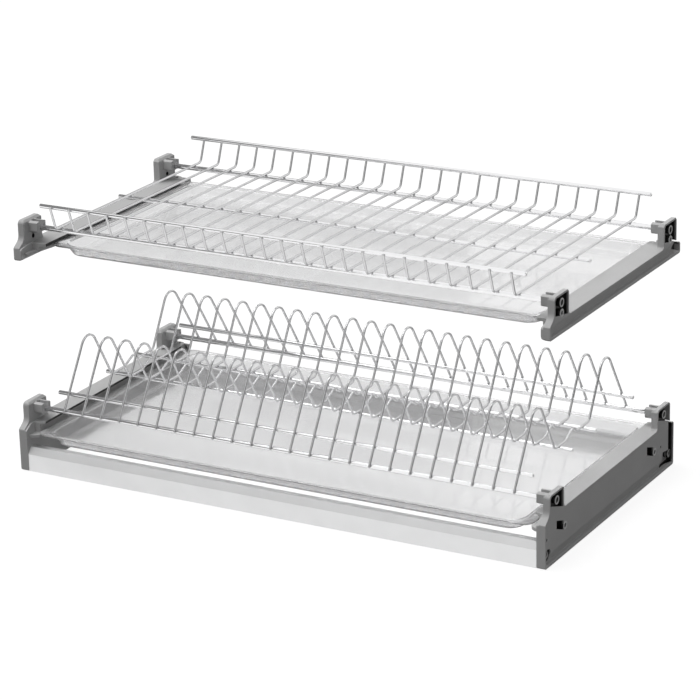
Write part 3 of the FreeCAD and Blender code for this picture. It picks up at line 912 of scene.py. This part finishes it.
# %% Tree: beads on points
def build_weld_beads():
    tree, given, result = new_group(
        "weld_beads",
        "GeometryNodeTree",
        [
            ("Places", "NodeSocketGeometry", None),
            ("Bead Radius", "NodeSocketFloat", 0.0013),
            ("Seed", "NodeSocketInt", 7),
            ("Material", "NodeSocketMaterial", None),
        ],
        [("Geometry", "NodeSocketGeometry")],
    )
    ball = add_node(
        tree,
        "GeometryNodeMeshUVSphere",
        {"Segments": 8, "Rings": 5, "Radius": given.outputs["Bead Radius"]},
    )
    varied = add_node(
        tree,
        "FunctionNodeRandomValue",
        {0: (0.9, 0.85, 0.85), 1: (1.15, 1.05, 1.05), "Seed": given.outputs["Seed"]},
        data_type="FLOAT_VECTOR",
    )
    turned = add_node(
        tree, "GeometryNodeInputNamedAttribute", {"Name": "turned"}, data_type="FLOAT_VECTOR"
    )
    beads = add_node(
        tree,
        "GeometryNodeInstanceOnPoints",
        {
            "Points": given.outputs["Places"],
            "Instance": ball.outputs["Mesh"],
            "Rotation": turned.outputs["Attribute"],
            "Scale": varied.outputs[0],
        },
    )
    return end_tree(tree, given, result, beads.outputs["Instances"])


weld_beads = build_weld_beads()
describe(weld_beads)


# %% Find the crossings and weld them
bead_radius = 0.00112


def nearest_on_route(flat_points, centre):
    """Point of a route's straight runs nearest to a bar, and the run's slope in radians."""
    best = None
    for a, b in zip(flat_points[:-1], flat_points[1:]):
        run = b - a
        share = max(0.0, min(1.0, (centre - a).dot(run) / run.length_squared))
        foot = a + run * share
        gap = (foot - centre).length
        if best is None or gap < best[0]:
            best = (gap, foot, math.atan2(run.y, run.x))
    return best


def weld_rack(name, body, nodes, flat_points, origin):
    """One bead wherever a wire lies on a rod or a rail."""
    points, turns = [], []
    for node in nodes:
        middle = mid_of(node)
        centre = Vector((middle.y - origin.y, middle.z - origin.z))
        gap, foot, slope = nearest_on_route(flat_points, centre)
        contact = foot.lerp(centre, (wire_radius - weld_sink) / gap)
        for i in range(wire_count):
            x = (i - (wire_count - 1) / 2) * wire_pitch
            points.append((x, origin.y + contact.x, origin.z + contact.y))
            turns += [slope, 0.0, 0.0]
    mesh = bpy.data.meshes.new(name)
    mesh.from_pydata(points, [], [])
    stored = mesh.attributes.new("turned", "FLOAT_VECTOR", "POINT")
    stored.data.foreach_set("vector", turns)
    made = linked_object(name, mesh)
    run_tree(made, weld_beads, {"Bead Radius": bead_radius, "Seed": 7, "Material": dull_chrome})
    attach(made, body)
    print(name, len(points), "beads")


weld_rack("plate_rack_welds", "plate_rack", plate_bars, plate_route, front_rod)
weld_rack("glass_rack_welds", "glass_rack", glass_bars, glass_route, glass_front_rod)

# %% [markdown]
# ## Moulded brackets and drawn profiles
#
# The CAD solids already have the right forms, but their edges are knife sharp, and a mould
# or a die never leaves such an edge. The CAD mesh itself must stay as it is, so a copy is
# made: its loose triangles are merged, flat regions become single faces again, and a Bevel
# by angle rounds the edges by a few tenths of a millimetre. A Weighted Normal modifier keeps
# the flat faces flat.
#
# Before the bevel, a bracket's copy gets finer touches, which follow the photograph. They move
# vertices that are picked by where they lie, measured from the rods or from the side panel.


# %% Pick by place
def within(value, limits):
    """Does a value lie between two limits?"""
    return limits[0] < value < limits[1]


# %% [markdown]
# ### Cradles and bosses
#
# Two prongs hold each rod's end, and behind it a round boss stands in the bracket's outer
# recess. The prongs are shorter in the photograph than in the solids, so their underside is
# lifted. The top of the boss goes down a little, to make room for the collar that follows.


# %% Shorten the prongs and lower the bosses
prong_y = (0.0041, 0.0073)
prong_x = (0.2649, 0.2753)
prong_under_z = (-0.0076, -0.0044)
boss_radius = 0.00385


def shorten_prongs(work, rods, lowest=-0.0075, raised=-0.0042, slope_kept=0.7):
    """Lifts the underside of both cradles, whose corners lie 4.2 to 7.2 mm beside the rod."""
    for vert in work.verts:
        for rod in rods:
            beside, height = abs(vert.co.y - rod.y), vert.co.z - rod.z
            at_cradle = within(beside, prong_y) and within(abs(vert.co.x), prong_x)
            if at_cradle and within(height, prong_under_z):
                vert.co.z = rod.z + raised + (height - lowest) * slope_kept


def lower_bosses(work, rods, depth=0.0014):
    """Lowers the top of each boss behind a rod's end, so that its collar stands on it."""
    for vert in work.verts:
        at_panel = abs(abs(vert.co.x) - panel_x) < 0.0001
        for rod in rods:
            if at_panel and math.hypot(vert.co.y - rod.y, vert.co.z - rod.z) < boss_radius:
                vert.co.x = math.copysign(panel_x - depth, vert.co.x)


# %% [markdown]
# ### Flange and ledge of the deep brackets
#
# The tray's rim slides between a flange above and a ledge below. In the photograph both are
# slim plates whose front ends run back at a slant. The underside of the flange is lifted to
# make it thin, both are drawn towards the wall, and their front corners move back, the more
# the further inwards they lie.


# %% Slim the flange and the ledge
wall_inner_x = 0.273
guides_z = (0.005, 0.019)
front_zone_y = -0.13
flange_front_y = -0.13425
flange_behind_y = -0.14
flange_top_from_z = 0.0115
flange_under_z = 0.0123
ledge_top_z = 0.009
near = 0.0003


def slim_guides(work, reach_kept=0.69, flange_lift=0.004):
    """Thins the flange, shortens flange and ledge inwards, and slants their front ends."""
    flange_back, flange_slant, ledge_slant = 0.0046, 0.2, 0.24
    for vert in work.verts:
        x, y, z = abs(vert.co.x), vert.co.y, vert.co.z
        inward = wall_inner_x - x
        if inward < -0.00005 or not within(z, guides_z):
            continue
        in_front = y < front_zone_y
        flange_corner = in_front and inward > 0.0005 and z > flange_top_from_z
        if flange_corner or abs(y - flange_front_y) < near:
            vert.co.y += flange_back + inward * flange_slant
        elif in_front and z < ledge_top_z:
            vert.co.y += inward * ledge_slant
        if abs(z - flange_under_z) < near and y > flange_behind_y:
            vert.co.z += flange_lift
        vert.co.x = math.copysign(wall_inner_x - inward * reach_kept, vert.co.x)


# %% [markdown]
# ### Painted shade on the plastic
#
# The recesses of the outer faces and the thin edge of the flange over the tray groove get
# painted shade, nearly black. A recess could be picked by hand, face by face. Here rays do it:
# from a face below the outer surface they look up, down, forwards and back, and if all four meet
# a wall, the face lies in a recess. What is found is stored in a face attribute that masks the
# painted shade, which the grey plastic reads.


# %% Paint shade on the flange's edge and in the recesses
flange_edge_x = (0.2585, 0.2637)
flange_edge_height = 0.0026
flange_below_rod = {"plate": 0.0142, "glass": 0.0182}
recess_depth = (0.0005, 0.0088)


def paint_flange_edge_shade(work, underside):
    """Makes the painted shade mask, and stores 1 on the inner edge of the flange over the groove, to
    paint it black as shade.
    """
    layer = work.faces.layers.float.new("hollow")
    for face in work.faces:
        middle = face.calc_center_median()
        at_edge = within(abs(middle.x), flange_edge_x) and abs(face.normal.x) > 0.9
        if at_edge and within(middle.z - underside, (0.0, flange_edge_height)):
            face[layer] = 1.0


def paint_recess_shade(work, reach=0.045):
    """Stores 1, for painted shade, on a face below the outer face that is walled in on all four sides.
    """
    tree = BVHTree.FromBMesh(work)
    layer = work.faces.layers.float["hollow"]
    ways = [Vector(way) for way in ((0, 1, 0), (0, -1, 0), (0, 0, 1), (0, 0, -1))]
    marked = 0
    for face in work.faces:
        middle = face.calc_center_median()
        faces_inward = face.normal.x * math.copysign(1.0, middle.x) < -0.3
        if faces_inward or not within(panel_x - abs(middle.x), recess_depth):
            continue
        start = middle + face.normal * 0.0003
        walls = [tree.ray_cast(start, way, reach)[1] for way in ways]
        if None not in walls and all(wall.dot(way) < 0.0 for wall, way in zip(walls, ways)):
            face[layer] = 1.0
            marked += 1
    print(marked, "faces lie in recesses")


# %% All the touches of a bracket's copy
def refine_bracket(work, node):
    rack = "plate" if node.startswith("lower") else "glass"
    rods = [mid_of(rack + "_front_rod"), mid_of(rack + "_rear_rod")]
    shorten_prongs(work, rods)
    lower_bosses(work, rods)
    if rack == "plate":
        slim_guides(work)
    work.normal_update()
    paint_flange_edge_shade(work, rods[0].z - flange_below_rod[rack])
    paint_recess_shade(work)


# %% Ease the edges of a copy
def ease_edges(obj, width):
    """A bevel on every edge sharper than 32 degrees, with the flat faces kept flat."""
    bevel = obj.modifiers.new("eased_edges", "BEVEL")
    bevel.width = width
    bevel.segments = 2
    bevel.limit_method = "ANGLE"
    bevel.angle_limit = math.radians(32)
    bevel.use_clamp_overlap = False
    obj.data.shade_smooth()
    weighted = obj.modifiers.new("flat_faces_stay_flat", "WEIGHTED_NORMAL")
    weighted.weight = 50
    made_plain(obj)


# %% Soften a copy of a CAD node
def softened(node, slot_name, material, width, refine=None):
    """A merged copy with eased edges stands for the node. refine works on it before the bevel."""
    mesh = frame["nodes"][node].data.copy()
    mesh.name = "soft_" + node
    work = bmesh.new()
    work.from_mesh(mesh)
    bmesh.ops.remove_doubles(work, verts=work.verts, dist=0.0001)
    bmesh.ops.dissolve_limit(
        work, angle_limit=math.radians(0.6), verts=work.verts, edges=work.edges
    )
    if refine:
        refine(work, node)
    work.to_mesh(mesh)
    work.free()
    mesh.materials.clear()
    mesh.materials.append(material)
    made = linked_object("soft_" + node, mesh)
    ease_edges(made, width)
    put_in_rack(made, "frame", slot_name, node)


brackets = [
    "lower_bracket_right",
    "lower_bracket_left",
    "upper_bracket_right",
    "upper_bracket_left",
]
for node in brackets:
    softened(node, "grey_moulding", moulded_grey, 0.0003, refine=refine_bracket)
for node in ("front_profile", "rear_profile"):
    softened(node, "aluminium", aluminium, 0.00025)
softened("profile_screws", "screw_steel", zinc, 0.00015)

# %% [markdown]
# ## Collars of the screw bosses
#
# Each boss in a bracket's outer face ends in a thin round collar. It stands a few tenths of a
# millimetre proud, so that the bracket seats on it when its screw is tightened. A torus would
# be too round, so a small section with a flat top is turned about X instead. The places come
# from the rods and from the bolt patterns in the imported record. The collars are a paler grey,
# a painted highlight, and the walls of a collar carry the painted shade mask too, so that its
# hole is painted dark as shade and only the rim stays pale.


# %% Where the bosses are
rod_boss = (0.0042, 0.0028)
screw_boss = (0.0039, 0.00215)


def boss_places():
    """(y, z, outer radius, hole radius) of every boss, the same on both sides."""
    places = []
    for node in ("plate_front_rod", "plate_rear_rod", "glass_front_rod", "glass_rear_rod"):
        middle = mid_of(node)
        places.append((middle.y, middle.z, *rod_boss))
    for mount in frame["record"]["mounts"]:
        if mount["name"] in ("lower_screws_right", "upper_screws_right"):
            half = mount["dims"]["spacing_x_mm"] / 2000
            x, y, z = mount["pos_m"]
            places += [(y - half, z, *screw_boss), (y + half, z, *screw_boss)]
    return places


# %% Section of a collar
def collar_section(rim, hole):
    """(radius, height over the outer face), up the hole, over the rim and down outside."""
    foot, top = -0.0015, 0.00035
    return [
        (hole, foot),
        (hole, 0.0001),
        (hole + 0.00015, 0.00028),
        (hole + 0.00045, top),
        (rim - 0.0006, top),
        (rim - 0.0002, 0.00025),
        (rim, 0.00005),
        (rim, foot),
    ]


# %% Turn the collars
def boss_collars(name, side, steps=28):
    """Rings turned about X on one side's outer faces, all in one piece."""
    points, faces, hollow = [], [], []
    for y, z, rim, hole in boss_places():
        section = collar_section(rim, hole)
        first, count = len(points), len(section)
        for k in range(steps):
            angle = 2 * math.pi * k / steps
            for radius, rise in section:
                across, up = radius * math.cos(angle), radius * math.sin(angle)
                points.append((side * (panel_x + rise), y + across, z + up))
        for k in range(steps):
            here = first + k * count
            there = first + (k + 1) % steps * count
            for j in range(count):
                n = (j + 1) % count
                faces.append((here + j, here + n, there + n, there + j))
                # Painted shade: the hole's wall and the faces below the outer face go black.
                hollow.append(1.0 if j == 0 or j >= count - 2 else 0.0)
    finish_collars(name, points, faces, hollow)


def finish_collars(name, points, faces, hollow):
    """A mesh with outward normals, smooth but for its sharp rims, on the frame."""
    mesh = bpy.data.meshes.new(name)
    mesh.from_pydata(points, [], faces)
    stored = mesh.attributes.new("hollow", "FLOAT", "FACE")
    stored.data.foreach_set("value", hollow)
    work = bmesh.new()
    work.from_mesh(mesh)
    bmesh.ops.recalc_face_normals(work, faces=work.faces)
    work.to_mesh(mesh)
    work.free()
    mesh.materials.append(collar_painted_highlight_grey)
    mesh.shade_smooth()
    mesh.set_sharp_from_angle(angle=math.radians(40))
    made = linked_object(name, mesh)
    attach(made, "frame")
    print(name, len(faces), "faces")


boss_collars("collars_right", 1)
boss_collars("collars_left", -1)

# %% [markdown]
# ## Clear drip trays
#
# A tray is pressed from one clear sheet: a flat rim that slides in the bracket grooves, a
# steep wall all round and a flat floor. Seen from above, each level of it is a rounded
# rectangle, so the tray is a stack of such rings, joined by quads. The rings follow the
# section of the sheet: in over the rim, down the wall, across the floor, and back underneath.
# Rings that lie close together make its rounded edges. A Solidify modifier could give the
# sheet its thickness, but the wall's two faces slope and round differently, so both are given.


# %% Rings of a tray
def tray_ring(low, high, inset_x, inset_y, corner, z, steps=10):
    """A rounded rectangle at height z, drawn in from the rim's outline."""
    x, y0, y1 = high.x - inset_x, low.y + inset_y, high.y - inset_y
    ring = []
    for cx, cy, start in (
        (x - corner, y1 - corner, 0.0),
        (corner - x, y1 - corner, 0.5),
        (corner - x, y0 + corner, 1.0),
        (x - corner, y0 + corner, 1.5),
    ):
        for k in range(steps + 1):
            angle = math.pi * (start + 0.5 * k / steps)
            ring.append((cx + corner * math.cos(angle), cy + corner * math.sin(angle), z))
    return ring


def between(a, b, share):
    """Insets and corner radius part of the way from one outline to another."""
    return tuple(p + (q - p) * share for p, q in zip(a, b))


def shifted(a, extra):
    """The same outline drawn in a little further, its corners tighter by as much."""
    return (a[0] + extra, a[1] + extra, max(a[2] - extra, 0.002))


# %% Section of the sheet, from the rim's edge inwards
sheet = 0.002
drop = 0.0112

# Each outline is (inset along X, inset along Y, corner radius).
rim_edge = (0.0, 0.0, 0.012)
wall_top = (0.010, 0.003, 0.016)
wall_foot = (0.016, 0.008, 0.014)
bowl_top = (0.01227, 0.00519, 0.0145)
bowl_foot = (0.018, 0.010, 0.0125)
upper_side = [
    (rim_edge, -0.0010),
    (rim_edge, -0.0006),
    (shifted(rim_edge, 0.00012), -0.00022),
    (shifted(rim_edge, 0.0005), 0.0),
    (shifted(bowl_top, -0.0010), 0.0),
    (shifted(bowl_top, -0.0002), -0.00018),
    (between(bowl_top, bowl_foot, 0.12), -0.0011),
    (between(bowl_top, bowl_foot, 0.84), -0.0080),
    (shifted(bowl_foot, -0.0001), -0.0088),
    (shifted(bowl_foot, 0.0006), -0.00915),
    (shifted(bowl_foot, 0.0016), -drop + sheet),
    (shifted(bowl_foot, 0.0070), -drop + sheet),
]
under_side = [
    (rim_edge, -0.0014),
    (shifted(rim_edge, 0.00012), -0.00178),
    (shifted(rim_edge, 0.0005), -0.0020),
    (shifted(between(wall_top, wall_foot, 0.18), -0.0009), -0.0020),
    (between(wall_top, wall_foot, 0.20), -0.0023),
    (between(wall_top, wall_foot, 0.27), -0.0031),
    (between(wall_top, wall_foot, 0.84), -0.0094),
    (shifted(wall_foot, 0.0001), -0.01075),
    (shifted(wall_foot, 0.0009), -0.01113),
    (shifted(wall_foot, 0.0020), -drop),
    (shifted(wall_foot, 0.0080), -drop),
]


# %% Press the trays
def press_tray(node, body, material):
    """Both sides of the sheet as stacks of rings, joined at the rim, each closed by a flat floor."""
    low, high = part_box(node)
    work = bmesh.new()
    sides = []
    for section in (upper_side, under_side):
        rings = []
        for (inset_x, inset_y, corner), z in section:
            ring = tray_ring(low, high, inset_x, inset_y, corner, high.z + z)
            rings.append([work.verts.new(p) for p in ring])
        sides.append(rings)
    upper, under = sides
    pairs = list(zip(upper[:-1], upper[1:]))
    pairs += list(zip(under[1:], under[:-1]))
    pairs.append((under[0], upper[0]))
    for outer, inner in pairs:
        count = len(outer)
        for k in range(count):
            m = (k + 1) % count
            work.faces.new((outer[k], outer[m], inner[m], inner[k]))
    work.faces.new(upper[-1])
    work.faces.new(list(reversed(under[-1])))
    bmesh.ops.recalc_face_normals(work, faces=work.faces)
    mesh = bpy.data.meshes.new("pressed_" + node)
    work.to_mesh(mesh)
    work.free()
    mesh.materials.append(material)
    mesh.shade_smooth()
    mesh.set_sharp_from_angle(angle=math.radians(50))
    made = linked_object("pressed_" + node, mesh)
    made.visible_shadow = False
    put_in_rack(made, body, "clear_plastic", node)


press_tray("lower_tray", "lower_tray_body", clear_lower)
press_tray("upper_tray", "upper_tray_body", clear_upper_painted_light)

# %% [markdown]
# ## Floor and world
#
# The photograph shows the rack on plain white. More light on the object would wash out its
# colours, so the white comes from a floor and a world that rays from the camera, mirrors and
# clear plastic see as white, while the light that they throw on the object stays modest. The
# floor keeps a faint shadow.


# %% Which rays see white
def seen_rays(tree):
    """1 for rays from the camera and for mirrored and transmitted ones, else 0."""
    path = add_node(tree, "ShaderNodeLightPath")
    seen = path.outputs["Is Camera Ray"]
    for ray in ("Is Glossy Ray", "Is Transmission Ray"):
        either = add_node(
            tree, "ShaderNodeMath", {0: seen, 1: path.outputs[ray]}, operation="MAXIMUM"
        )
        seen = either.outputs[0]
    return seen


# %% White floor
floor_reach = 30.0
floor_glow = 0.90


def white_floor():
    level = cad_low.z - 0.0005
    a, b = -floor_reach, floor_reach
    corners = [(a, a), (b, a), (b, b), (a, b)]
    mesh = bpy.data.meshes.new("pale_floor")
    mesh.from_pydata([(x, y, level) for x, y in corners], [], [(0, 1, 2, 3)])
    floor = linked_object("pale_floor", mesh)
    made, tree, shader = new_material("floor_white")
    shader.inputs["Base Color"].default_value = grey(0.13)
    shader.inputs["Roughness"].default_value = 0.9
    shader.inputs["Specular IOR Level"].default_value = 0.0
    glow = add_node(
        tree, "ShaderNodeMath", {0: seen_rays(tree), 1: floor_glow}, operation="MULTIPLY"
    )
    shader.inputs["Emission Color"].default_value = grey(1.0)
    tree.links.new(glow.outputs[0], shader.inputs["Emission Strength"])
    mesh.materials.append(made)
    print("floor at", round(level * 1000, 1), "mm")


white_floor()


# %% White world
room_light = 0.26
room_seen = 1.0


def white_world():
    world = bpy.data.worlds.new("studio")
    world.use_nodes = True
    bpy.context.scene.world = world
    tree = world.node_tree
    tree.nodes.clear()
    seen = seen_rays(tree)
    room = add_node(tree, "ShaderNodeBackground", {"Color": grey(1.0), "Strength": room_light})
    shown = add_node(tree, "ShaderNodeBackground", {"Color": grey(1.0), "Strength": room_seen})
    either = add_node(
        tree, "ShaderNodeMixShader", {0: seen, 1: room.outputs[0], 2: shown.outputs[0]}
    )
    out = tree.nodes.new("ShaderNodeOutputWorld")
    tree.links.new(either.outputs[0], out.inputs["Surface"])
    print("the world lights the rack at", room_light, "and is seen at", room_seen)


white_world()

# %% [markdown]
# ## Lamps
#
# A wide soft sun above and to the left lights the upward faces, and a weak lamp fills in from
# the right. Mirrored in chrome they would leave hard white spots, which the photograph doesn't
# have, so glossy rays don't see them: bright metal mirrors the room alone.


# %% A wide soft sun and a weak fill
def lamp(name, kind, place, power, **settings):
    """A lamp that shines from its place to the origin, and that bright metal doesn't mirror."""
    data = bpy.data.lights.new(name, kind)
    data.energy = power
    for setting, value in settings.items():
        setattr(data, setting, value)
    made = linked_object(name, data)
    made.location = place
    made.rotation_mode = "QUATERNION"
    made.rotation_quaternion = (-Vector(place)).to_track_quat("-Z", "Y")
    made.visible_glossy = False
    print(name, "shines with", power, "from", place)


lamp("soft_sky", "SUN", (-0.42, -0.12, 1.0), 3.0, angle=math.radians(60))
lamp("fill", "AREA", (2.4, -1.1, 0.8), 3.0, shape="DISK", size=1.2)

# %% [markdown]
# ## Grey cards
#
# Chrome in an all white room looks like white paint. Photographers set up dark cards, whose
# mirror images give polished wire its dark lines. Three cards do that here, on both sides and
# below. Only reflections see them, so they neither show in the picture nor dim the light.


# %% Grey cards that only reflections see
def grey_card(name, corners, level):
    """A glowing grey rectangle, hidden from all but glossy rays."""
    mesh = bpy.data.meshes.new(name)
    mesh.from_pydata(corners, [], [(0, 1, 2, 3)])
    card = linked_object(name, mesh)
    made, _, shader = new_material(name)
    shader.inputs["Base Color"].default_value = grey(0.0)
    shader.inputs["Specular IOR Level"].default_value = 0.0
    shader.inputs["Emission Color"].default_value = grey(1.0)
    shader.inputs["Emission Strength"].default_value = level
    mesh.materials.append(made)
    card.visible_camera = False
    card.visible_diffuse = False
    card.visible_transmission = False
    card.visible_shadow = False
    print(name, "glows at", level)


def upright(x, y0, y1, top):
    """Corners of a card that stands on the floor along Y."""
    return [(x, y0, 0), (x, y1, 0), (x, y1, top), (x, y0, top)]


def lying(x, y0, y1, level):
    """Corners of a card that lies flat, as wide to the left as to the right."""
    return [(-x, y0, level), (x, y0, level), (x, y1, level), (-x, y1, level)]


card_side = 2.4
under = cad_low.z - 0.0002
front_edge = cad_low.y + 0.012
grey_card("card_right", upright(card_side, -7, 1, 6), 0.22)
grey_card("card_left", upright(-card_side, -7, 5, 2.2), 0.22)
grey_card("card_below", lying(1, front_edge, 1, under), 0.40)

# %% [markdown]
# ## Camera
#
# The camera stands in front of the rack, to the right and a little above, with a long lens. Its
# angles, distance and focal length come from fitting the rack's straight rods and its corners
# to the photograph. It is built from its own three axes, which keeps the small roll exact.


# %% Camera
yaw, pitch, roll = math.radians(29.432), math.radians(19.103), math.radians(-1.430)
target = Vector((0.0, -0.0259, 0.1338))
distance = 2.752
aside, lowered = 0.02034, 0.03198
sensor_width = 36.0
focal_share = 2911.8 / 700.0


def photo_camera():
    ahead = Vector(
        (-math.sin(yaw) * math.cos(pitch), math.cos(yaw) * math.cos(pitch), -math.sin(pitch))
    )
    level = Vector((math.cos(yaw), math.sin(yaw), 0.0))
    above = level.cross(ahead)
    right = level * math.cos(roll) + above * math.sin(roll)
    up = above * math.cos(roll) - level * math.sin(roll)
    place = target - ahead * distance + right * aside - up * lowered
    data = bpy.data.cameras.new("photo_view")
    data.sensor_width = sensor_width
    data.lens = focal_share * sensor_width
    data.clip_start, data.clip_end = 0.05, 100.0
    camera = linked_object("photo_view", data)
    turn = Matrix((right, up, -ahead)).transposed()
    camera.matrix_world = Matrix.Translation(place) @ turn.to_4x4()
    bpy.context.scene.camera = camera
    print("camera", round(distance, 2), "m away with a lens of", round(data.lens), "mm")


photo_camera()
bpy.context.scene.view_settings.view_transform = "Standard"

# %% [markdown]
# ## The end
#
# The view layer is updated once more. The dressed model must stay in the CAD model's box.

# %% Finish
bpy.context.view_layer.update()
